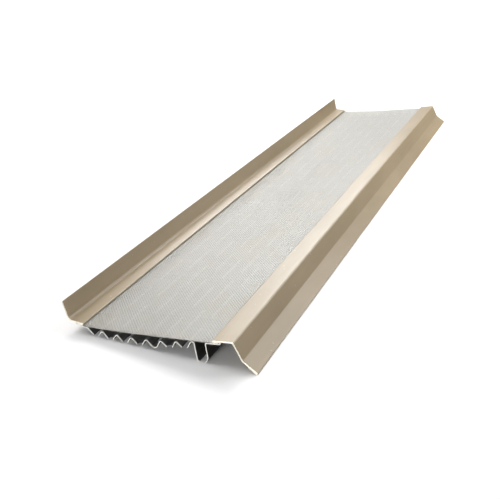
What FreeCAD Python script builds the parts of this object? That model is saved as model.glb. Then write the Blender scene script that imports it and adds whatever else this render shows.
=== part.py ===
import FreeCAD, Part
import math
import os
import Sketcher

# A short length of micro-mesh gutter guard: a painted rear flange, a corrugated tray, a woven screen
# on top of it and a painted front cap, all bent sheet locked together along their edges.
#
# Every section is drawn in the panel's own axes: X from the house side to the gutter's front lip,
# Z square to the screen, and Y along the gutter. Each finished piece is then turned about Y, so that
# the guard lies on a floor at Z = 0 as it comes to rest, with the middle of its box at the origin.

LEFT = 1
RIGHT = -1

DRIVING_DIMENSIONS = (
    ("guard_length", 610.0, "length along the gutter"),
    ("paint_sheet", 0.6, "thickness of the painted aluminium"),
    ("tray_sheet", 0.45, "thickness of the tray"),
    ("screen_sheet", 0.3, "thickness of the woven screen"),
    ("lock_gap", 0.03, "play between two layers of a lock seam"),
    ("lock_reach", 5.0, "from the painted fold of a lock seam to the tray's fold"),
    ("lock_leg", 4.0, "length of the painted return leg in a lock seam"),
    ("lock_nose", 0.4, "room between the tray's return leg and the painted fold"),
    ("rear_lock_x", -0.12, "painted fold of the rear seam, across"),
    ("rear_lock_z", -0.05, "painted fold of the rear seam, height"),
    ("rear_slope", -10.5, "slope of the rear seam in degrees"),
    ("front_lock_x", 112.3, "painted fold of the front seam, across"),
    ("front_lock_z", -0.5, "painted fold of the front seam, height"),
    ("front_slope", 2.5, "slope of the front seam in degrees"),
    ("wall_top_x", -13.2, "top edge of the rear wall, across"),
    ("wall_top_z", 18.1, "top edge of the rear wall, height"),
    ("wall_run", 10.0, "from the rear seam's fold back to the wall's bend"),
    ("wall_bend", 2.7, "inside radius at the foot of the rear wall"),
    ("shelf_run", 4.6, "from the rear seam's fold to the tray's first drop"),
    ("first_crest", 17.6, "first crest of the corrugation, across"),
    ("pitch", 12.9, "from crest to crest"),
    ("wave_depth", 5.4, "from a crest down to a trough"),
    ("crest_bend", 1.35, "inside radius of a crest"),
    ("trough_bend", 2.75, "inside radius of a trough"),
    ("sag_edge", -2.4, "height of the crests where the tray doesn't sag"),
    ("sag_depth", 4.0, "how far the crests sag in the middle"),
    ("sag_centre", 50.0, "middle of the sag, across"),
    ("sag_half", 46.0, "half the width of the sag"),
    ("channel_left", 97.1, "left wall of the deep channel, across"),
    ("channel_foot_x", 103.2, "right-hand foot bend of the channel, across"),
    ("channel_hip_x", 103.75, "bend where the channel's right wall turns upright, across"),
    ("channel_hip_z", -13.6, "the same bend, height"),
    ("channel_floor", -17.7, "floor of the channel, height"),
    ("channel_bend", 1.0, "inside radius at the channel's foot"),
    ("hip_bend", 2.0, "inside radius at the channel's hip"),
    ("shoulder_bend", 0.8, "inside radius where the channel meets the front seam"),
    ("shoulder_run", 5.3, "from the front seam's fold back to that shoulder"),
    ("cap_run", 14.4, "from the front seam's fold to the cap's front bend"),
    ("cap_bend", 1.2, "inside radius of the cap's front bend"),
    ("lip_bend", 3.0, "inside radius where the cap's slope turns out into the lip"),
    ("lip_run", 11.6, "from that bend to the hem"),
    ("lip_slope", -40.8, "slope of the lip in degrees"),
    ("hem_x", 141.9, "hem at the lip's edge, across"),
    ("hem_z", -21.55, "hem at the lip's edge, height"),
    ("hem_bend", 0.05, "inside radius of the hem"),
    ("hem_leg", 7.0, "length of the leaf folded back under the lip"),
    ("screen_bend", 20.0, "radius where the screen leaves the rear seam"),
    ("screen_rise", 3.0, "from the rear seam's fold to that bend"),
    ("screen_sag_x", 41.0, "lowest line of the screen, across"),
    ("screen_sag_z", -2.65, "lowest line of the screen, height"),
    ("screen_sag_bend", 360.0, "radius of the screen's sag"),
    ("screen_end_bend", 60.0, "radius where the screen meets the front seam"),
    ("screen_end_run", 8.0, "from the front seam's fold back to that bend"),
    ("slot_width", 4.6, "width of a drain slot"),
    ("slot_length", 38.0, "length of a drain slot"),
    ("slot_pitch", 50.0, "from slot to slot along the guard"),
    ("slot_count", 13, "slots in each row"),
    ("slot_lead_a", 10.0, "middle of the first slot from the near end, first kind of row"),
    ("slot_lead_b", -15.0, "the same, second kind of row"),
    ("slot_lead_c", 25.0, "the same, third kind of row"),
    ("rest_tilt", 5.544, "how far the front is turned up when the guard lies on a floor, in degrees"),
    ("rest_shift", -64.246, "moves the middle of the box to X = 0"),
    ("rest_lift", 8.39, "moves the lowest line to Z = 0"),
)

CREST_COUNT = 7
SLOT_LEADS = ("slot_lead_a", "slot_lead_b", "slot_lead_a", "slot_lead_b",
              "slot_lead_c", "slot_lead_b", "slot_lead_a")


class Size:
    """A length or angle with the expression that FreeCAD keeps for it."""

    def __init__(self, value, text):
        self.value = value
        self.text = text

    def __add__(self, other):
        other = as_size(other)
        return Size(self.value + other.value, f"({self.text} + {other.text})")

    def __sub__(self, other):
        other = as_size(other)
        return Size(self.value - other.value, f"({self.text} - {other.text})")

    def __mul__(self, other):
        other = as_size(other)
        return Size(self.value * other.value, f"({self.text} * {other.text})")

    def __truediv__(self, other):
        other = as_size(other)
        return Size(self.value / other.value, f"({self.text} / {other.text})")

    def __neg__(self):
        return Size(-self.value, f"(0 - {self.text})")


def as_size(number):
    return number if isinstance(number, Size) else Size(number, str(number))


def cosine(angle):
    return Size(math.cos(math.radians(angle.value)), f"cos({angle.text})")


def sine(angle):
    return Size(math.sin(math.radians(angle.value)), f"sin({angle.text})")


def bind(thing, path, size):
    thing.setExpression(path, size.text)


def dimension_sheet(doc):
    sheet = doc.addObject("Spreadsheet::Sheet", "Dimensions")
    for row, (alias, value, meaning) in enumerate(DRIVING_DIMENSIONS, start=1):
        sheet.set(f"A{row}", meaning)
        sheet.set(f"B{row}", str(value))
        sheet.setAlias(f"B{row}", alias)
    doc.recompute()
    return {alias: Size(sheet.get(alias), f"Dimensions.{alias}") for alias, _, _ in DRIVING_DIMENSIONS}


def seen_from(origin, along, across):
    """A point in the slanted axes of a seam or lip, given as (x, z, slope)."""
    x, z, slope = origin
    along = as_size(along)
    across = as_size(across)
    return (x + along * cosine(slope) - across * sine(slope),
            z + along * sine(slope) + across * cosine(slope))


def bend(point, inside_radius, turn):
    return point[0], point[1], inside_radius, turn


def straight_run(first, second):
    """Ends of the straight between two round bends, each (x, z, radius), negative on a right turn."""
    (first_x, first_z, first_radius), (second_x, second_z, second_radius) = first, second
    span = math.hypot(second_x - first_x, second_z - first_z)
    swing = second_radius - first_radius
    heading = math.atan2(second_z - first_z, second_x - first_x) - math.asin(swing / span)
    left_x = -math.sin(heading)
    left_z = math.cos(heading)
    leaves = FreeCAD.Vector(first_x - first_radius * left_x, first_z - first_radius * left_z, 0)
    arrives = FreeCAD.Vector(second_x - second_radius * left_x, second_z - second_radius * left_z, 0)
    return leaves, arrives


def pin_point(sketch, geometry, vertex, x, z):
    """Holds a point of the sketch at (x, z) from the sketch's origin."""
    for kind, size in (("DistanceX", x), ("DistanceY", z)):
        index = sketch.addConstraint(Sketcher.Constraint(kind, -1, 1, geometry, vertex, size.value))
        bind(sketch, f"Constraints[{index}]", size)


def sketch_face(doc, name, start, bends, end, thickness):
    """Sketches one face of a bent sheet, as straights and arcs from start to end.

    The sheet lies to the right of this path, so a right-hand bend has its outside radius here.
    """
    sketch = doc.addObject("Sketcher::SketchObject", name)
    sketch.Placement = FreeCAD.Placement(FreeCAD.Vector(), FreeCAD.Rotation(FreeCAD.Vector(1, 0, 0), 90))
    radii = [radius if turn == LEFT else radius + thickness for _, _, radius, turn in bends]
    stations = [(start[0].value, start[1].value, 0)]
    for (x, z, _, turn), radius in zip(bends, radii):
        stations.append((x.value, z.value, turn * radius.value))
    stations.append((end[0].value, end[1].value, 0))
    runs = [straight_run(a, b) for a, b in zip(stations, stations[1:])]

    straights = [sketch.addGeometry(Part.LineSegment(leaves, arrives), False) for leaves, arrives in runs]
    for index, ((x, z, _, turn), radius) in enumerate(zip(bends, radii)):
        centre = FreeCAD.Vector(x.value, z.value, 0)
        into = runs[index][1] - centre
        out = runs[index + 1][0] - centre
        first, last = (into, out) if turn == LEFT else (out, into)
        circle = Part.Circle(centre, FreeCAD.Vector(0, 0, 1), radius.value)
        angles = math.atan2(first.y, first.x), math.atan2(last.y, last.x)
        arc = sketch.addGeometry(Part.ArcOfCircle(circle, *angles), False)
        entry, leave = (1, 2) if turn == LEFT else (2, 1)
        sketch.addConstraint(Sketcher.Constraint("Tangent", straights[index], 2, arc, entry))
        sketch.addConstraint(Sketcher.Constraint("Tangent", arc, leave, straights[index + 1], 1))
        limit = sketch.addConstraint(Sketcher.Constraint("Radius", arc, radius.value))
        bind(sketch, f"Constraints[{limit}]", radius)
        pin_point(sketch, arc, 3, x, z)
    pin_point(sketch, straights[0], 1, *start)
    pin_point(sketch, straights[-1], 2, *end)
    return sketch


def bent_sheet(doc, name, start, bends, end, thickness, length):
    """Thickens a face sketch to the right of its path and runs it along the guard."""
    sketch = sketch_face(doc, name + "_face", start, bends, end, thickness)
    section = doc.addObject("Part::Offset2D", name + "_section")
    section.Source = sketch
    section.Mode = "Skin"
    section.Join = "Arc"
    section.Fill = True
    bind(section, "Value", -thickness)
    sheet = doc.addObject("Part::Extrusion", name)
    sheet.Base = section
    sheet.DirMode = "Custom"
    sheet.Dir = FreeCAD.Vector(0, 1, 0)
    sheet.Symmetric = True
    sheet.Solid = True
    bind(sheet, "LengthFwd", length)
    return sheet


def lay_down(piece, label, size):
    """Names a finished piece and turns it from the panel's axes into the resting pose."""
    piece.Label = label
    piece.Placement = FreeCAD.Placement(FreeCAD.Vector(), FreeCAD.Rotation(FreeCAD.Vector(0, -1, 0), 1))
    bind(piece, "Placement.Rotation.Angle", size["rest_tilt"])
    bind(piece, "Placement.Base.x", size["rest_shift"])
    bind(piece, "Placement.Base.z", size["rest_lift"])
    return piece


def seam_layers(size):
    """How far below the painted fold's centre each layer of a lock seam has its middle."""
    painted = (size["paint_sheet"] + size["tray_sheet"]) / 2 + size["lock_gap"]
    screen = painted + (size["paint_sheet"] + size["screen_sheet"]) / 2 + size["lock_gap"]
    tray = screen + (size["screen_sheet"] + size["tray_sheet"]) / 2 + size["lock_gap"]
    return painted, screen, tray


def rear_flange(doc, size, rear):
    """The wall that stands up against the fascia, and the strip that locks onto the tray."""
    thickness = size["paint_sheet"]
    painted, _, _ = seam_layers(size)
    start = size["wall_top_x"], size["wall_top_z"]
    foot = seen_from(rear, -size["wall_run"], painted + size["wall_bend"] + thickness / 2)
    bends = [
        bend(foot, size["wall_bend"], LEFT),
        bend(rear[:2], painted - thickness / 2, RIGHT),
    ]
    end = seen_from(rear, -size["lock_leg"], -painted - thickness / 2)
    flange = bent_sheet(doc, "RearFlange", start, bends, end, thickness, size["guard_length"])
    return lay_down(flange, "rear_flange", size)


def front_cap(doc, size, front):
    """The strip that locks onto the tray's front, its slope and the hemmed lip."""
    thickness = size["paint_sheet"]
    painted, _, _ = seam_layers(size)
    hem = size["hem_x"], size["hem_z"], size["lip_slope"]
    leaf = size["hem_bend"] + thickness / 2
    nose = seen_from(front, size["cap_run"], painted - size["cap_bend"] - thickness / 2)
    flare = seen_from(hem, -size["lip_run"], leaf + size["lip_bend"] + thickness / 2)
    start = seen_from(front, size["lock_leg"], -painted - thickness / 2)
    bends = [
        bend(front[:2], painted - thickness / 2, RIGHT),
        bend(nose, size["cap_bend"], RIGHT),
        bend(flare, size["lip_bend"], LEFT),
        bend(hem[:2], size["hem_bend"], RIGHT),
    ]
    end = seen_from(hem, -size["hem_leg"], -leaf - thickness / 2)
    cap = bent_sheet(doc, "FrontCap", start, bends, end, thickness, size["guard_length"])
    return lay_down(cap, "front_cap", size)


def mesh_screen(doc, size, rear, front):
    """The screen's envelope, held in both seams between a painted leg and the tray."""
    thickness = size["screen_sheet"]
    _, layer, _ = seam_layers(size)
    top = thickness / 2 - layer
    start = seen_from(rear, -size["lock_leg"], top)
    sag = size["screen_sag_x"], size["screen_sag_z"] + thickness / 2 + size["screen_sag_bend"]
    bends = [
        bend(seen_from(rear, size["screen_rise"], top + size["screen_bend"]), size["screen_bend"], LEFT),
        bend(sag, size["screen_sag_bend"], LEFT),
        bend(seen_from(front, -size["screen_end_run"], top + size["screen_end_bend"]),
             size["screen_end_bend"], LEFT),
    ]
    end = seen_from(front, size["lock_leg"], top)
    screen = bent_sheet(doc, "MeshScreen", start, bends, end, thickness, size["guard_length"])
    return lay_down(screen, "mesh_screen", size)


def crest_line(size, x):
    """Height of the corrugation's crests at x: a shallow parabola."""
    share = (x - size["sag_centre"]) / size["sag_half"]
    return size["sag_edge"] - size["sag_depth"] * (as_size(1) - share * share)


def trough_x(size, index):
    return size["first_crest"] + size["pitch"] * (index - 0.5)


def tray_bends(size, rear, front):
    """Every bend of the tray's section, from the rear seam's fold to the front seam's."""
    half = size["tray_sheet"] / 2
    _, _, tray = seam_layers(size)
    fold_radius = tray / 2 - half
    crest = size["crest_bend"] + half
    trough = size["trough_bend"] + half
    bends = [
        bend(seen_from(rear, -size["lock_reach"], -tray / 2), fold_radius, LEFT),
        bend(seen_from(rear, size["shelf_run"], -tray - crest), size["crest_bend"], RIGHT),
    ]
    for index in range(CREST_COUNT):
        low_x = trough_x(size, index)
        low = low_x, crest_line(size, low_x) - size["wave_depth"] + trough
        high_x = size["first_crest"] + size["pitch"] * index
        high = high_x, crest_line(size, high_x) - crest
        if index == CREST_COUNT - 1:
            high = size["channel_left"] - crest, high[1]
        bends.append(bend(low, size["trough_bend"], LEFT))
        bends.append(bend(high, size["crest_bend"], RIGHT))
    foot = size["channel_bend"] + half
    shoulder = seen_from(front, -size["shoulder_run"], -tray - size["shoulder_bend"] - half)
    bends += [
        bend((size["channel_left"] + foot, size["channel_floor"] + foot), size["channel_bend"], LEFT),
        bend((size["channel_foot_x"], size["channel_floor"] + foot), size["channel_bend"], LEFT),
        bend((size["channel_hip_x"], size["channel_hip_z"]), size["hip_bend"], LEFT),
        bend(shoulder, size["shoulder_bend"], RIGHT),
        bend(seen_from(front, size["lock_reach"], -tray / 2), fold_radius, LEFT),
    ]
    return bends


def slot_row(body, name, size, x, lead):
    """Punches one row of round-ended drain slots through the tray, centred on x."""
    plane = next(o for o in body.Origin.OriginFeatures if o.Role == "XY_Plane")
    sketch = body.newObject("Sketcher::SketchObject", name + "_outline")
    sketch.AttachmentSupport = [(plane, "")]
    sketch.MapMode = "FlatFace"
    radius = size["slot_width"] / 2
    reach = size["slot_length"] / 2 - radius
    middle = lead - size["guard_length"] / 2
    ends = []
    for side in (LEFT, RIGHT):
        centre = FreeCAD.Vector(x.value, middle.value + side * reach.value, 0)
        turn = 0 if side == LEFT else math.pi
        circle = Part.Circle(centre, FreeCAD.Vector(0, 0, 1), radius.value)
        arc = sketch.addGeometry(Part.ArcOfCircle(circle, turn, turn + math.pi), False)
        pin_point(sketch, arc, 3, x, middle + reach * side)
        ends.append(arc)
    limit = sketch.addConstraint(Sketcher.Constraint("Radius", ends[0], radius.value))
    bind(sketch, f"Constraints[{limit}]", radius)
    for first, second, side in ((ends[0], ends[1], LEFT), (ends[1], ends[0], RIGHT)):
        from_point = FreeCAD.Vector(x.value - side * radius.value, middle.value + side * reach.value, 0)
        to_point = FreeCAD.Vector(x.value - side * radius.value, middle.value - side * reach.value, 0)
        edge = sketch.addGeometry(Part.LineSegment(from_point, to_point), False)
        sketch.addConstraint(Sketcher.Constraint("Tangent", first, 2, edge, 1))
        sketch.addConstraint(Sketcher.Constraint("Tangent", edge, 2, second, 1))

    punch = body.newObject("PartDesign::Pocket", name)
    punch.Profile = sketch
    punch.Type = "ThroughAll"
    punch.SideType = "Symmetric"
    row = body.newObject("PartDesign::LinearPattern", name + "_row")
    row.Originals = [punch]
    row.Direction = (sketch, ["V_Axis"])
    row.Mode = "Spacing"
    bind(row, "Offset", size["slot_pitch"])
    bind(row, "Occurrences", size["slot_count"])
    body.Tip = row


def support_tray(doc, size, rear, front):
    """The corrugated tray with its drain slots and its deep channel."""
    half = size["tray_sheet"] / 2
    start = seen_from(rear, -size["lock_nose"], -half)
    end = seen_from(front, size["lock_nose"], -half)
    blank = bent_sheet(doc, "TrayBlank", start, tray_bends(size, rear, front), end,
                       size["tray_sheet"], size["guard_length"])
    body = doc.addObject("PartDesign::Body", "SupportTray")
    body.BaseFeature = blank
    for index, lead in enumerate(SLOT_LEADS):
        slot_row(body, f"TroughSlot{index + 1}", size, trough_x(size, index), size[lead])
    channel_x = (size["channel_left"] + size["channel_bend"] + half + size["channel_foot_x"]) / 2
    slot_row(body, "ChannelSlot", size, channel_x, size["slot_lead_a"])
    return lay_down(body, "support_tray", size)


def check_document(doc, pieces):
    for thing in doc.Objects:
        if "Invalid" in thing.State or "Error" in thing.State:
            raise RuntimeError(f"{thing.Name} failed: {thing.State}")
    for piece in pieces:
        if piece.Shape.isNull() or not piece.Shape.isValid() or len(piece.Shape.Solids) != 1:
            raise RuntimeError(f"{piece.Label} has no single valid solid")


def main():
    doc = FreeCAD.newDocument("GutterGuard")
    size = dimension_sheet(doc)
    rear = size["rear_lock_x"], size["rear_lock_z"], size["rear_slope"]
    front = size["front_lock_x"], size["front_lock_z"], size["front_slope"]
    pieces = [
        rear_flange(doc, size, rear),
        support_tray(doc, size, rear, front),
        mesh_screen(doc, size, rear, front),
        front_cap(doc, size, front),
    ]
    doc.recompute()
    check_document(doc, pieces)
    os.makedirs("parts", exist_ok=True)
    for piece in pieces:
        piece.Shape.exportStep(os.path.join("parts", piece.Label + ".step"))
        box = piece.Shape.BoundBox
        print(f"{piece.Label}: volume {piece.Shape.Volume:.0f} mm3, "
              f"X {box.XMin:.2f} to {box.XMax:.2f}, Z {box.ZMin:.2f} to {box.ZMax:.2f}")


main()
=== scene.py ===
"""Looks of the gutter guard: fine bent sheets, a woven wire screen, paint and mill finishes."""
import math

import bpy
import numpy as np
from mathutils import Matrix, Vector


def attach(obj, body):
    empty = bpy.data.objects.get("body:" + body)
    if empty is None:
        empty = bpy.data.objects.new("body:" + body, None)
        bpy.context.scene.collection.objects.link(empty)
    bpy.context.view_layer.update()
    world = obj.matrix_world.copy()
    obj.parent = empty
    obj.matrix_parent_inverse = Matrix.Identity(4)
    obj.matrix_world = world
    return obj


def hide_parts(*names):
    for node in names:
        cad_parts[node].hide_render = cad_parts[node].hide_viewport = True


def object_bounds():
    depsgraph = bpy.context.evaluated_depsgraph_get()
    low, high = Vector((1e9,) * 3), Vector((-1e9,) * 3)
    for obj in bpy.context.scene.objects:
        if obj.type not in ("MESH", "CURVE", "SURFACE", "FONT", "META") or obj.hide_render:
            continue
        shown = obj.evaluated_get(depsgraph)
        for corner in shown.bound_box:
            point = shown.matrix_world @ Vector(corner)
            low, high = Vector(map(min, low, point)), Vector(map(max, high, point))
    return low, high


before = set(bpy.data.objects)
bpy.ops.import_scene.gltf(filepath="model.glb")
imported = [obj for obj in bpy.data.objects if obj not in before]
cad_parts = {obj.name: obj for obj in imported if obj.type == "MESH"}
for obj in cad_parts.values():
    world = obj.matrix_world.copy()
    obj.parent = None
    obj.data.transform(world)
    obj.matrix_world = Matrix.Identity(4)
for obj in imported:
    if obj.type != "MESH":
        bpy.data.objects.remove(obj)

CAD_LOW, CAD_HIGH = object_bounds()
MM = 0.001
LEFT, RIGHT = 1, -1
HALF_LENGTH = (CAD_HIGH.y - CAD_LOW.y) / 2 / MM

# Section sizes in millimetres, the same as the solid model's.
TILT = math.radians(5.544)
PAINT_SHEET = 0.6
TRAY_SHEET = 0.45
SCREEN_SHEET = 0.3
LOCK_GAP = 0.03
REAR_LOCK = (-0.12, -0.05, math.radians(-10.5))
FRONT_LOCK = (112.3, -0.5, math.radians(2.5))
HEM = (141.9, -21.55, math.radians(-40.8))
CREST_COUNT = 7
FIRST_CREST = 17.6
PITCH = 12.9
SLOT_WIDTH, SLOT_LENGTH, SLOT_PITCH, SLOT_COUNT = 4.6, 38.0, 50.0, 13
SLOT_LEADS = (10.0, -15.0, 10.0, -15.0, 25.0, -15.0, 10.0)
SLOT_ARC_STEPS = 8
CUTTER_BOTTOM, CUTTER_TOP = -30.0, 10.0
CREST_BEND, TROUGH_BEND, CHANNEL_BEND = 1.35, 2.75, 1.0
WAVE_DEPTH = 5.4
CHANNEL_LEFT, CHANNEL_FOOT, CHANNEL_BOTTOM = 97.1, 103.2, -17.7

PAINTED_LAYER = (PAINT_SHEET + TRAY_SHEET) / 2 + LOCK_GAP
SCREEN_LAYER = PAINTED_LAYER + (PAINT_SHEET + SCREEN_SHEET) / 2 + LOCK_GAP
TRAY_LAYER = SCREEN_LAYER + (SCREEN_SHEET + TRAY_SHEET) / 2 + LOCK_GAP

# Weave in millimetres: flattened wires that pass over and under each other. They are wide for
# their pitch, so they clip each other where they change sides.
WIRE_PITCH = 1.27
WIRE_WIDTH = 1.02
WIRE_THICKNESS = 0.17
WIRE_HEAVE = 0.085
WIRE_JITTER = 0.008
WIRE_DRIFT = 0.002
LONG_SLIP_LIMIT, CROSS_SLIP_LIMIT = 0.12, 0.1
END_SPREAD, END_LIMIT, END_DROP = 0.22, 0.6, 0.3
SELVEDGE = 0.05

rng = np.random.default_rng(20261116)


# ---------------------------------------------------------------- sections

def seen_from(origin, along, across):
    x, z, slope = origin
    return (x + along * math.cos(slope) - across * math.sin(slope),
            z + along * math.sin(slope) + across * math.cos(slope))


def run_headings(stations):
    headings = []
    for (ax, az, ar), (bx, bz, br) in zip(stations, stations[1:]):
        span = math.hypot(bx - ax, bz - az)
        headings.append(math.atan2(bz - az, bx - ax) - math.asin((br - ar) / span))
    return headings


def trace(start, bends, end, thickness, step=math.radians(7)):
    """Points of the path, the unit normals to its left, and how tightly it bends at each point."""
    stations = [(*start, 0.0)]
    for x, z, inside, turn in bends:
        stations.append((x, z, turn * (inside if turn == LEFT else inside + thickness)))
    stations.append((*end, 0.0))
    headings = run_headings(stations)
    points, normals, bend_at = [], [], []

    def put(x, z, radius, heading, tight):
        left = (-math.sin(heading), math.cos(heading))
        points.append((x - radius * left[0], z - radius * left[1]))
        normals.append(left)
        bend_at.append(tight)

    put(*stations[0], headings[0], 0.0)
    for (x, z, radius), (_, _, inside, turn), into, out in zip(
            stations[1:-1], bends, headings, headings[1:]):
        swing = (out - into) % (2 * math.pi) if turn == LEFT else -((into - out) % (2 * math.pi))
        count = max(2, math.ceil(abs(swing) / step))
        for index in range(count + 1):
            tight = math.sin(math.pi * index / count) / (1.0 + 0.25 * inside)
            put(x, z, radius, into + swing * index / count, tight * turn)
    put(*stations[-1], headings[-1], 0.0)
    return np.array(points), np.array(normals), np.array(bend_at)


def rear_flange_section():
    start = (-13.2, 18.1)
    wall_bend = 2.7
    foot = seen_from(REAR_LOCK, -10.0, PAINTED_LAYER + wall_bend + PAINT_SHEET / 2)
    bends = [(*foot, wall_bend, LEFT),
             (*REAR_LOCK[:2], PAINTED_LAYER - PAINT_SHEET / 2, RIGHT)]
    end = seen_from(REAR_LOCK, -4.0, -PAINTED_LAYER - PAINT_SHEET / 2)
    return trace(start, bends, end, PAINT_SHEET)


def front_cap_section():
    cap_bend, lip_bend, hem_bend = 1.2, 3.0, 0.05
    leaf = hem_bend + PAINT_SHEET / 2
    nose = seen_from(FRONT_LOCK, 14.4, PAINTED_LAYER - cap_bend - PAINT_SHEET / 2)
    flare = seen_from(HEM, -11.6, leaf + lip_bend + PAINT_SHEET / 2)
    start = seen_from(FRONT_LOCK, 4.0, -PAINTED_LAYER - PAINT_SHEET / 2)
    bends = [(*FRONT_LOCK[:2], PAINTED_LAYER - PAINT_SHEET / 2, RIGHT),
             (*nose, cap_bend, RIGHT),
             (*flare, lip_bend, LEFT),
             (*HEM[:2], hem_bend, RIGHT)]
    end = seen_from(HEM, -7.0, -leaf - PAINT_SHEET / 2)
    return trace(start, bends, end, PAINT_SHEET)


def screen_section():
    """The middle line of the screen, which is traced as a sheet without thickness."""
    start = seen_from(REAR_LOCK, -4.0, -SCREEN_LAYER)
    bends = [(*seen_from(REAR_LOCK, 3.0, 20.15 - SCREEN_LAYER), 20.15, LEFT),
             (41.0, -2.65 + 360.15, 360.15, LEFT),
             (*seen_from(FRONT_LOCK, -8.0, 60.15 - SCREEN_LAYER), 60.15, LEFT)]
    end = seen_from(FRONT_LOCK, 4.0, -SCREEN_LAYER)
    return trace(start, bends, end, 0.0, math.radians(0.5))


def crest_line(x):
    share = (x - 50.0) / 46.0
    return -2.4 - 4.0 * (1 - share * share)


def trough_x(index):
    return FIRST_CREST + PITCH * (index - 0.5)


def tray_section():
    half = TRAY_SHEET / 2
    fold = TRAY_LAYER / 2 - half
    crest, trough, foot = CREST_BEND + half, TROUGH_BEND + half, CHANNEL_BEND + half
    bends = [(*seen_from(REAR_LOCK, -5.0, -TRAY_LAYER / 2), fold, LEFT),
             (*seen_from(REAR_LOCK, 4.6, -TRAY_LAYER - crest), CREST_BEND, RIGHT)]
    for index in range(CREST_COUNT):
        low = trough_x(index)
        high = FIRST_CREST + PITCH * index
        level = crest_line(high) - crest
        if index == CREST_COUNT - 1:
            high = CHANNEL_LEFT - crest
        bends.append((low, crest_line(low) - WAVE_DEPTH + trough, TROUGH_BEND, LEFT))
        bends.append((high, level, CREST_BEND, RIGHT))
    shoulder = seen_from(FRONT_LOCK, -5.3, -TRAY_LAYER - 0.8 - half)
    bends += [(CHANNEL_LEFT + foot, CHANNEL_BOTTOM + foot, CHANNEL_BEND, LEFT),
              (CHANNEL_FOOT, CHANNEL_BOTTOM + foot, CHANNEL_BEND, LEFT),
              (103.75, -13.6, 2.0, LEFT),
              (*shoulder, 0.8, RIGHT),
              (*seen_from(FRONT_LOCK, 5.0, -TRAY_LAYER / 2), fold, LEFT)]
    start = seen_from(REAR_LOCK, -0.4, -half)
    end = seen_from(FRONT_LOCK, 0.4, -half)
    return trace(start, bends, end, TRAY_SHEET)


def turned(points):
    """Panel millimetres, as (x, z) pairs, turned to the resting slope, in metres."""
    x, z = np.asarray(points)[..., 0], np.asarray(points)[..., 1]
    return np.stack([x * math.cos(TILT) - z * math.sin(TILT),
                     x * math.sin(TILT) + z * math.cos(TILT)], axis=-1) * MM


def both_faces(section, thickness):
    points, normals, bend_at = section
    return points, points - normals * thickness, bend_at


def resting_shift(outlines):
    """Puts the turned sections where the CAD model's box is: centred across, and on the floor."""
    every = turned(np.concatenate(outlines))
    low, high = every.min(axis=0), every.max(axis=0)
    return np.array([(CAD_LOW.x + CAD_HIGH.x - low[0] - high[0]) / 2, CAD_LOW.z - low[1]])


# ---------------------------------------------------------------- meshes

def mesh_object(name, vertices, faces, indices=None):
    mesh = bpy.data.meshes.new(name)
    mesh.from_pydata(vertices, [], faces)
    if indices is not None:
        mesh.polygons.foreach_set("material_index", indices)
    mesh.update()
    piece = bpy.data.objects.new(name, mesh)
    bpy.context.collection.objects.link(piece)
    return piece


def smooth(piece, angle):
    mesh = piece.data
    mesh.shade_smooth()
    mesh.set_sharp_from_angle(angle=math.radians(angle))


def sheet_object(name, section, thickness, stations):
    """A bent sheet as a closed mesh in panel millimetres.

    Its first material is on the faces, the second on the cut ends and the third on the slit edges.
    """
    upper, lower, bend_at = both_faces(section, thickness)
    outline = np.concatenate([upper, lower[::-1]])
    count, half = len(outline), len(upper)
    vertices = [(x, y, z) for y in stations for x, z in outline]
    faces, indices = [], []
    for row in range(len(stations) - 1):
        for index in range(count):
            after = (index + 1) % count
            a, b = row * count, (row + 1) * count
            faces.append((a + index, a + after, b + after, b + index))
            indices.append(2 if index in (half - 1, count - 1) else 0)
    last = (len(stations) - 1) * count
    for index in range(half - 1):
        near = (index, count - 1 - index, count - 2 - index, index + 1)
        faces.append(near)
        faces.append(tuple(last + corner for corner in reversed(near)))
        indices += [1, 1]
    piece = mesh_object(name, vertices, faces, indices)
    # Weight for a painted highlight on the outside of each bend, read by the paint.
    rub_and_highlight = np.concatenate([np.maximum(-bend_at, 0), np.maximum(bend_at, 0)[::-1]])
    layer = piece.data.attributes.new("rub_and_highlight", "FLOAT", "POINT")
    layer.data.foreach_set("value", np.tile(rub_and_highlight, len(stations)).astype(np.float32))
    return piece


def lay_down(piece, shift):
    """Moves a mesh from panel millimetres to its place in the row's frame, in metres."""
    mesh = piece.data
    flat = np.empty(len(mesh.vertices) * 3, dtype=np.float32)
    mesh.vertices.foreach_get("co", flat)
    points = flat.reshape(-1, 3)
    placed = turned(points[:, [0, 2]]) + shift
    out = np.stack([placed[:, 0], points[:, 1] * MM, placed[:, 1]], axis=1)
    mesh.vertices.foreach_set("co", out.astype(np.float32).ravel())
    mesh.update()


def slot_cutters():
    """Round-ended prisms for every drain slot, in panel millimetres."""
    channel_x = (CHANNEL_LEFT + CHANNEL_BEND + TRAY_SHEET / 2 + CHANNEL_FOOT) / 2
    rows = [(trough_x(index), lead) for index, lead in enumerate(SLOT_LEADS)]
    rows.append((channel_x, SLOT_LEADS[0]))
    radius, reach = SLOT_WIDTH / 2, (SLOT_LENGTH - SLOT_WIDTH) / 2
    ring = []
    for side, first in ((1, 0.0), (-1, math.pi)):
        for index in range(SLOT_ARC_STEPS + 1):
            angle = first + math.pi * index / SLOT_ARC_STEPS
            ring.append((radius * math.cos(angle), side * reach + radius * math.sin(angle)))
    vertices, faces = [], []
    for x, lead in rows:
        for index in range(SLOT_COUNT):
            middle = lead - HALF_LENGTH + index * SLOT_PITCH
            base, count = len(vertices), len(ring)
            vertices += [(x + dx, middle + dy, CUTTER_BOTTOM) for dx, dy in ring]
            vertices += [(x + dx, middle + dy, CUTTER_TOP) for dx, dy in ring]
            faces.append(tuple(base + i for i in reversed(range(count))))
            faces.append(tuple(base + count + i for i in range(count)))
            for i in range(count):
                after = (i + 1) % count
                faces.append((base + i, base + after, base + count + after, base + count + i))
    return mesh_object("slot_cutters", vertices, faces)


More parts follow.
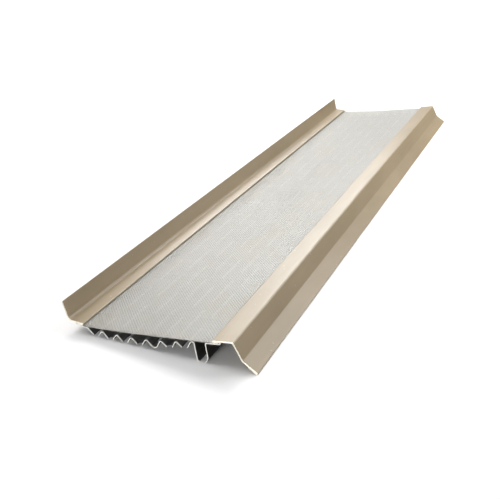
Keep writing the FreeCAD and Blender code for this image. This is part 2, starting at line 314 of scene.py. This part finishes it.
def punch(piece, cutters):
    """Cuts the slots and keeps the result as the piece's own mesh."""
    modifier = piece.modifiers.new("slots", "BOOLEAN")
    modifier.operation = "DIFFERENCE"
    modifier.solver = "EXACT"
    modifier.object = cutters
    graph = bpy.context.evaluated_depsgraph_get()
    cut = bpy.data.meshes.new_from_object(piece.evaluated_get(graph))
    piece.modifiers.clear()
    old, piece.data = piece.data, cut
    bpy.data.meshes.remove(old)
    bpy.data.objects.remove(cutters)


def quads_mesh(name, vertices, quads, tones):
    mesh = bpy.data.meshes.new(name)
    mesh.vertices.add(len(vertices))
    mesh.vertices.foreach_set("co", vertices.astype(np.float32).ravel())
    mesh.loops.add(quads.size)
    mesh.loops.foreach_set("vertex_index", quads.astype(np.int32).ravel())
    mesh.polygons.add(len(quads))
    mesh.polygons.foreach_set("loop_start", np.arange(0, quads.size, 4, dtype=np.int32))
    mesh.update(calc_edges=True)
    layer = mesh.attributes.new("wire_tone", "FLOAT", "POINT")
    layer.data.foreach_set("value", tones.astype(np.float32))
    mesh.shade_smooth()
    piece = bpy.data.objects.new(name, mesh)
    bpy.context.collection.objects.link(piece)
    return piece


def wires(name, centres, sides, ups, tones):
    """Flattened wires: centres, sides and ups are (wires, knots, 3) arrays."""
    count, knots, _ = centres.shape
    wide, thick = WIRE_WIDTH / 2 * MM, WIRE_THICKNESS / 2 * MM
    ring = np.stack([centres + sides * wide, centres + ups * thick,
                     centres - sides * wide, centres - ups * thick], axis=2)
    vertices = ring.reshape(-1, 3)
    start = np.arange(count * knots).reshape(count, knots)[:, :-1].ravel() * 4
    quads = [np.stack([start + k, start + (k + 1) % 4, start + 4 + (k + 1) % 4, start + 4 + k], 1)
             for k in range(4)]
    first = np.arange(count) * knots * 4
    last = first + (knots - 1) * 4
    ends = [np.stack([first + 3, first + 2, first + 1, first], 1),
            np.stack([last, last + 1, last + 2, last + 3], 1)]
    return quads_mesh(name, vertices, np.concatenate(quads + ends), np.repeat(tones, knots * 4))


def along_path(points, distances):
    """Positions and left normals at the given distances along a polyline."""
    legs = np.diff(points, axis=0)
    reach = np.concatenate([[0.0], np.cumsum(np.hypot(*legs.T))])
    spots = np.stack([np.interp(distances, reach, points[:, k]) for k in (0, 1)], axis=1)
    ahead = np.stack([np.interp(distances + 0.05, reach, points[:, k]) for k in (0, 1)], axis=1)
    behind = np.stack([np.interp(distances - 0.05, reach, points[:, k]) for k in (0, 1)], axis=1)
    way = ahead - behind
    way /= np.linalg.norm(way, axis=1, keepdims=True)
    return spots, np.stack([-way[:, 1], way[:, 0]], axis=1), reach[-1]


def weave(shift):
    """Both sets of wires of the screen, placed in the row's frame."""
    points, _, _ = screen_section()
    _, _, total = along_path(points, np.array([0.0]))
    across_count = int(total / WIRE_PITCH)
    along_count = int((2 * HALF_LENGTH - 1.0) / WIRE_PITCH)
    across = (np.arange(across_count) - (across_count - 1) / 2) * WIRE_PITCH + total / 2
    along = (np.arange(along_count) - (along_count - 1) / 2) * WIRE_PITCH
    across += rng.normal(0, WIRE_JITTER, across_count)
    along += rng.normal(0, WIRE_JITTER, along_count)
    spots, lefts, _ = along_path(points, across)
    placed = turned(spots) + shift
    up = turned(lefts) / MM
    normal = np.stack([up[:, 0], np.zeros(across_count), up[:, 1]], axis=1)
    way = np.stack([up[:, 1], np.zeros(across_count), -up[:, 0]], axis=1)
    parity = (-1.0) ** np.add.outer(np.arange(across_count), np.arange(along_count))

    # Long wires run along the guard, one knot at each crossing and one at each cut end.
    drift = np.cumsum(rng.normal(0, WIRE_DRIFT, (across_count, along_count)), axis=1)
    drift -= drift.mean(axis=1, keepdims=True)
    long_y = np.concatenate([[-HALF_LENGTH], along, [HALF_LENGTH]])
    ends = np.abs(rng.normal(0, END_SPREAD, (across_count, 2))).clip(0, END_LIMIT)
    knots = len(long_y)
    centres = np.zeros((across_count, knots, 3))
    centres[:, :, 0] = placed[:, None, 0]
    centres[:, :, 2] = placed[:, None, 1]
    centres[:, :, 1] = long_y * MM
    centres[:, 0, 1] += ends[:, 0] * MM
    centres[:, -1, 1] -= ends[:, 1] * MM
    lift = np.concatenate([parity[:, :1] * -END_DROP, parity, parity[:, -1:] * -END_DROP], axis=1)
    centres += normal[:, None, :] * (lift * WIRE_HEAVE * MM)[:, :, None]
    slip = np.pad(drift, ((0, 0), (1, 1)), mode="edge").clip(-LONG_SLIP_LIMIT, LONG_SLIP_LIMIT)
    centres += way[:, None, :] * (slip * MM)[:, :, None]
    sides = np.broadcast_to(way[:, None, :], centres.shape)
    ups = np.broadcast_to(normal[:, None, :], centres.shape)
    tones = rng.random(across_count)
    pieces = []
    for part, rows in enumerate(np.array_split(np.arange(across_count), 2), start=1):
        pieces.append(wires(f"long_wires_{part}", centres[rows], sides[rows], ups[rows], tones[rows]))

    # Cross wires follow the section, one knot at each crossing and one at each selvedge.
    edge_spots, edge_lefts, _ = along_path(points, np.array([SELVEDGE, total - SELVEDGE]))
    edge_placed = turned(edge_spots) + shift
    xz = np.concatenate([edge_placed[:1], placed, edge_placed[1:]])
    edge_up = turned(edge_lefts) / MM
    edge_normal = np.stack([edge_up[:, 0], [0, 0], edge_up[:, 1]], axis=1)
    cross_normal = np.concatenate([edge_normal[:1], normal, edge_normal[1:]])
    lift = np.pad(-parity.T, ((0, 0), (1, 1)))
    centres = np.zeros((along_count, across_count + 2, 3))
    centres[:, :, 0] = xz[:, 0]
    centres[:, :, 2] = xz[:, 1]
    centres[:, :, 1] = along[:, None] * MM
    bow = np.cumsum(rng.normal(0, WIRE_DRIFT, centres.shape[:2]), axis=1)
    bow -= bow.mean(axis=1, keepdims=True)
    centres[:, :, 1] += bow.clip(-CROSS_SLIP_LIMIT, CROSS_SLIP_LIMIT) * MM
    centres += cross_normal[None] * (lift * WIRE_HEAVE * MM)[:, :, None]
    sides = np.broadcast_to(np.array([0.0, -1.0, 0.0]), centres.shape)
    ups = np.broadcast_to(cross_normal[None], centres.shape)
    tones = rng.random(along_count)
    for part, rows in enumerate(np.array_split(np.arange(along_count), 2), start=1):
        pieces.append(wires(f"cross_wires_{part}", centres[rows], sides[rows], ups[rows], tones[rows]))
    return pieces


# ---------------------------------------------------------------- materials

class Finish:
    """A material under construction: node makers with short names."""

    def __init__(self, name):
        self.material = bpy.data.materials.new(name)
        self.material.use_nodes = True
        self.tree = self.material.node_tree
        self.shader = self.tree.nodes["Principled BSDF"]
        self.place = self.node("ShaderNodeTexCoord").outputs["Object"]

    def node(self, kind, **settings):
        made = self.tree.nodes.new(kind)
        for key, value in settings.items():
            setattr(made, key, value)
        return made

    def feed(self, socket, value):
        if isinstance(value, bpy.types.NodeSocket):
            self.tree.links.new(value, socket)
        else:
            socket.default_value = value

    def stretched(self, scale, turn=(0.0, 0.0, 0.0)):
        mapping = self.node("ShaderNodeMapping")
        self.feed(mapping.inputs["Vector"], self.place)
        mapping.inputs["Scale"].default_value = scale
        mapping.inputs["Rotation"].default_value = turn
        return mapping.outputs["Vector"]

    def noise(self, scale, detail=3.0, rough=0.55, turn=(0.0, 0.0, 0.0)):
        made = self.node("ShaderNodeTexNoise")
        self.feed(made.inputs["Vector"], self.stretched(scale, turn))
        made.inputs["Scale"].default_value = 1.0
        made.inputs["Detail"].default_value = detail
        made.inputs["Roughness"].default_value = rough
        return made.outputs["Fac"]

    def spots(self, scale):
        made = self.node("ShaderNodeTexVoronoi")
        self.feed(made.inputs["Vector"], self.stretched(scale))
        made.inputs["Scale"].default_value = 1.0
        return made.outputs["Distance"]

    def attribute(self, name):
        return self.node("ShaderNodeAttribute", attribute_name=name).outputs["Fac"]

    def math(self, operation, first, second=0.0, clamp=False):
        made = self.node("ShaderNodeMath", operation=operation, use_clamp=clamp)
        self.feed(made.inputs[0], first)
        self.feed(made.inputs[1], second)
        return made.outputs["Value"]

    def ranged(self, value, low, high, to_low=0.0, to_high=1.0):
        made = self.node("ShaderNodeMapRange", interpolation_type="SMOOTHSTEP")
        for socket, number in zip(made.inputs[:5], (value, low, high, to_low, to_high)):
            self.feed(socket, number)
        return made.outputs["Result"]

    def mixed(self, share, first, second):
        made = self.node("ShaderNodeMix", data_type="RGBA")
        self.feed(made.inputs["Factor"], share)
        self.feed(made.inputs[6], first)
        self.feed(made.inputs[7], second)
        return made.outputs[2]

    def end_distance(self):
        """Distance in metres from the nearer cut end."""
        split = self.node("ShaderNodeSeparateXYZ")
        self.feed(split.inputs[0], self.place)
        return self.math("SUBTRACT", HALF_LENGTH * MM, self.math("ABSOLUTE", split.outputs["Y"]))

    def bump(self, height, distance, under=None):
        made = self.node("ShaderNodeBump")
        made.inputs["Strength"].default_value = 1.0
        made.inputs["Distance"].default_value = distance
        self.feed(made.inputs["Height"], height)
        if under is not None:
            self.feed(made.inputs["Normal"], under)
        return made.outputs["Normal"]

    def finished(self, **sockets):
        names = {"base": "Base Color", "metal": "Metallic", "rough": "Roughness", "normal": "Normal",
                 "specular": "Specular IOR Level"}
        for key, value in sockets.items():
            self.feed(self.shader.inputs[names[key]], value)
        return self.material


def rgb(red, green, blue):
    """A display colour, 0 to 255, as the linear colour that a shader takes."""
    def linear(level):
        level /= 255
        return level / 12.92 if level <= 0.04045 else ((level + 0.055) / 1.055) ** 2.4
    return (linear(red), linear(green), linear(blue), 1.0)


def coil_paint(name, body, shade, scuff_and_highlight_tone, dust):
    """Baked tan coil paint with roller grain, a painted highlight along the outside of the bends broken up
    like rubbing, scuffs and dust.
    """
    f = Finish(name)
    cloud = f.noise((14, 5, 14), 4.0, 0.6)
    grain = f.noise((1500, 22, 1500), 2.0)
    peel = f.noise((900, 900, 900), 2.0)
    streak = f.noise((260, 3.5, 260), 3.0, 0.6)
    base = f.mixed(f.ranged(cloud, 0.35, 0.68), body, shade)
    base = f.mixed(f.ranged(streak, 0.5, 0.78, 0.0, 0.28), base, shade)
    # Painted highlight along the bends: the outside of each bend is lightened toward the pale tone, more
    # on tight bends, in patches like rubbing.
    rub_and_highlight = f.math("MULTIPLY", f.attribute("rub_and_highlight"), f.ranged(f.noise((90, 60, 90), 4.0), 0.3, 0.7, 0.35, 1.0))
    base = f.mixed(f.math("MULTIPLY", rub_and_highlight, 0.55), base, scuff_and_highlight_tone)
    scuff = f.ranged(f.noise((420, 18, 420), 5.0, 0.7, (0.0, 0.0, 0.12)), 0.69, 0.75)
    base = f.mixed(f.math("MULTIPLY", scuff, 0.5), base, scuff_and_highlight_tone)
    specks = f.math("MULTIPLY", f.ranged(f.spots((260, 260, 260)), 0.10, 0.17, 1.0, 0.0),
                    f.ranged(f.noise((60, 60, 60), 2.0), 0.58, 0.68))
    base = f.mixed(f.math("MULTIPLY", specks, 0.6), base, dust)
    chip = f.ranged(f.math("ADD", f.end_distance(),
                           f.ranged(f.noise((1300, 1300, 1300), 3.0), 0.3, 0.7, -0.0003, 0.0003)),
                    0.0005, 0.0009, 1.0, 0.0)
    base = f.mixed(chip, base, rgb(244, 238, 222))
    rough = f.math("ADD", f.ranged(grain, 0.3, 0.7, 0.27, 0.34), f.math("MULTIPLY", cloud, 0.06))
    rough = f.math("ADD", rough, f.math("MULTIPLY", f.math("MAXIMUM", scuff, specks), 0.22))
    normal = f.bump(grain, 0.000006, f.bump(peel, 0.000012))
    return f.finished(base=base, rough=rough, normal=normal, metal=f.math("MULTIPLY", chip, 0.2),
                      specular=0.5)


def bare_edge(name, bright, dark, rough_low):
    """Sheared metal at a cut: drawn vertical tears over bright and dull patches."""
    f = Finish(name)
    tears = f.noise((2600, 2600, 500), 3.0, 0.65)
    patch = f.noise((180, 180, 180), 3.0)
    base = f.mixed(f.ranged(f.math("MULTIPLY", tears, patch), 0.16, 0.34), dark, bright)
    return f.finished(base=base, metal=0.15, rough=f.ranged(tears, 0.3, 0.7, rough_low, rough_low + 0.2),
                      normal=f.bump(tears, 0.00002))


def mill_aluminium(name):
    """Rolled aluminium: fine lines along the strip, dull oxide clouds and handling marks, all in greys
    darkened well below bare aluminium as painted shade for the inside under the screen.
    """
    f = Finish(name)
    lines = f.noise((2200, 9, 2200), 4.0, 0.7)
    bands = f.noise((300, 2, 300), 3.0)
    oxide = f.noise((45, 30, 45), 5.0, 0.6)
    marks = f.ranged(f.noise((700, 40, 700), 4.0, 0.7, (0.0, 0.0, 0.3)), 0.68, 0.74)
    # Painted shade: these greys, and the oxide and mark greys below, are far darker than bare mill
    # aluminium, standing for the shade inside the tray under the screen.
    base = f.mixed(f.ranged(lines, 0.3, 0.7), rgb(124, 124, 122), rgb(144, 144, 142))
    base = f.mixed(f.ranged(oxide, 0.5, 0.75, 0.0, 0.45), base, rgb(108, 108, 104))
    base = f.mixed(f.math("MULTIPLY", marks, 0.3), base, rgb(176, 176, 174))
    burnish = f.ranged(f.end_distance(), 0.0005, 0.0010, 1.0, 0.0)
    base = f.mixed(burnish, base, rgb(248, 246, 238))
    rough = f.math("ADD", f.ranged(bands, 0.3, 0.7, 0.50, 0.60), f.ranged(oxide, 0.45, 0.75, 0.0, 0.14))
    return f.finished(base=base, metal=f.math("SUBTRACT", 1.0, f.math("MULTIPLY", burnish, 0.8)),
                      rough=rough, normal=f.bump(lines, 0.000008))


def wire_steel(name):
    """Drawn stainless wire: each wire a little different, with small darker patches and dust."""
    f = Finish(name)
    tone = f.attribute("wire_tone")
    drawn = f.noise((5000, 5000, 5000), 2.0)
    cloud = f.noise((40, 22, 40), 4.0, 0.6)
    base = f.mixed(tone, rgb(167, 166, 162), rgb(177, 176, 172))
    base = f.mixed(f.ranged(cloud, 0.45, 0.72, 0.0, 0.5), base, rgb(172, 168, 158))
    base = f.mixed(f.ranged(drawn, 0.6, 0.8, 0.0, 0.4), base, rgb(148, 144, 136))
    rough = f.math("ADD", f.ranged(drawn, 0.3, 0.7, 0.30, 0.42), f.math("MULTIPLY", tone, 0.06))
    return f.finished(base=base, metal=1.0, rough=rough, normal=f.bump(drawn, 0.00001))


def floor_white(name):
    """White floor that fades to plain white away from the object, for the camera only."""
    f = Finish(name)
    cloud = f.noise((2, 2, 2), 3.0)
    reach = f.node("ShaderNodeVectorMath", operation="LENGTH")
    f.feed(reach.inputs[0], f.place)
    glow = f.math("MULTIPLY", f.ranged(reach.outputs["Value"], 0.5, 1.1),
                  f.node("ShaderNodeLightPath").outputs["Is Camera Ray"])
    f.feed(f.shader.inputs["Emission Strength"], glow)
    f.shader.inputs["Emission Color"].default_value = (1.0, 1.0, 1.0, 1.0)
    return f.finished(base=f.mixed(cloud, (0.92, 0.92, 0.92, 1.0), (0.94, 0.94, 0.94, 1.0)),
                      rough=0.8, specular=0.1)


# ---------------------------------------------------------------- the object

# The pale tone is both the colour of real scuffs and a painted highlight on the outside of the bends.
tan = dict(body=rgb(163, 146, 119), shade=rgb(150, 134, 108),
           scuff_and_highlight_tone=rgb(205, 194, 168), dust=rgb(214, 208, 194))
flange_paint = coil_paint("painted_flange_coil", **tan)
cap_paint = coil_paint("painted_cap_coil", **tan)
# The tray's finish is darkened as painted shade.
tray_metal_with_painted_shade = mill_aluminium("tray_mill_finish_with_painted_shade")
bright_cut = bare_edge("bright_cut_edge", rgb(250, 246, 234), rgb(206, 200, 184), 0.25)
# The rear flange's cut ends and slit edges are a dark grey-green, darker than the bright cut edges of the
# cap and tray.
dark_cut = bare_edge("dark_cut_edge", rgb(120, 122, 108), rgb(74, 76, 64), 0.4)
steel = wire_steel("screen_wire")

sections = {
    "rear_flange": (rear_flange_section(), PAINT_SHEET),
    "support_tray": (tray_section(), TRAY_SHEET),
    "front_cap": (front_cap_section(), PAINT_SHEET),
}
SHIFT = resting_shift([face for section, thickness in sections.values()
                       for face in both_faces(section, thickness)[:2]])

ends = [-HALF_LENGTH, HALF_LENGTH]
flange = sheet_object("rear_flange_sheet", *sections["rear_flange"], ends)
cap = sheet_object("front_cap_sheet", *sections["front_cap"], ends)
tray = sheet_object("support_tray_sheet", *sections["support_tray"], ends)
punch(tray, slot_cutters())

for piece, node, slot, finishes in (
        (flange, "rear_flange", "painted_flange", (flange_paint, dark_cut, dark_cut)),
        (cap, "front_cap", "painted_cap", (cap_paint, bright_cut, bright_cut)),
        (tray, "support_tray", "mill_aluminium", (tray_metal_with_painted_shade, bright_cut, bright_cut))):
    lay_down(piece, SHIFT)
    smooth(piece, 35)
    piece.data.materials.clear()
    for finish in finishes:
        piece.data.materials.append(finish)
    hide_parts(node)
    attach(piece, "root")

for piece in weave(SHIFT):
    piece.data.materials.append(steel)
    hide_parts("mesh_screen")
    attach(piece, "root")

# ---------------------------------------------------------------- floor, light and camera

floor = mesh_object("floor", [(-3, -3, 0), (3, -3, 0), (3, 3, 0), (-3, 3, 0)], [(0, 1, 2, 3)])
floor.data.materials.append(floor_white("floor_white"))
floor.visible_glossy = False


def soft_light(name, position, target, size, watts):
    light = bpy.data.lights.new(name, "AREA")
    light.shape = "RECTANGLE"
    light.size, light.size_y = size
    light.energy = watts
    lamp = bpy.data.objects.new(name, light)
    lamp.location = position
    lamp.rotation_euler = (Vector(target) - Vector(position)).to_track_quat("-Z", "Y").to_euler()
    lamp.visible_camera = False
    bpy.context.collection.objects.link(lamp)


# Name, position, aim, size in metres and power in watts.
LIGHTS = (
    ("back_softbox", (-1.83, 3.16, 1.63), (0, -0.1, 0), (1.7, 1.2), 41),
    ("high_softbox", (-0.79, 2.96, 2.57), (0, -0.1, 0), (2.0, 1.4), 40),
    ("left_softbox", (-1.0, -0.3, 1.4), (0, -0.1, 0), (0.8, 1.4), 13),
    ("far_softbox", (-0.4, 1.0, 1.1), (0, 0.2, 0), (0.6, 0.6), 7),
    ("far_fill", (0.50, 0.35, 0.45), (0, 0.25, 0), (0.7, 0.7), 4.8),
    ("right_softbox", (1.2, 1.6, 0.9), (0, 0.2, 0), (0.9, 0.9), 3),
    ("near_fill", (0.0, -1.6, 0.22), (0, -0.3, 0), (0.5, 0.2), 15),
)
for setting in LIGHTS:
    soft_light(*setting)

scene = bpy.context.scene
world = bpy.data.worlds.new("studio")
scene.world = world
world.use_nodes = True
studio = world.node_tree
sky = studio.nodes["Background"]
heading = studio.nodes.new("ShaderNodeSeparateXYZ")
studio.links.new(studio.nodes.new("ShaderNodeTexCoord").outputs["Generated"], heading.inputs[0])

# The light from the world grows from the horizon to overhead; the camera sees plain white.
ramp = studio.nodes.new("ShaderNodeMapRange")
for socket, number in zip(ramp.inputs[1:5], (0.2, 0.9, 0.03, 0.30)):
    socket.default_value = number
studio.links.new(heading.outputs["Z"], ramp.inputs[0])
seen = studio.nodes.new("ShaderNodeMath")
seen.operation = "MAXIMUM"
studio.links.new(ramp.outputs["Result"], seen.inputs[0])
studio.links.new(studio.nodes.new("ShaderNodeLightPath").outputs["Is Camera Ray"], seen.inputs[1])
studio.links.new(seen.outputs["Value"], sky.inputs["Strength"])
sky.inputs["Color"].default_value = (1.0, 1.0, 1.0, 1.0)
scene.view_settings.view_transform = "Standard"

camera = bpy.data.cameras.new("camera")
camera.lens = 48.56
camera.sensor_width = 36.0
camera.clip_start = 0.01
viewer = bpy.data.objects.new("camera", camera)
viewer.matrix_world = (Matrix.Translation((0.2481, -0.6265, 0.2720))
                       @ Matrix.Rotation(math.radians(27.475), 4, "Z")
                       @ Matrix.Rotation(math.radians(63.706), 4, "X")
                       @ Matrix.Rotation(math.radians(-4.206), 4, "Z"))
bpy.context.collection.objects.link(viewer)
scene.camera = viewer

bpy.context.view_layer.update()
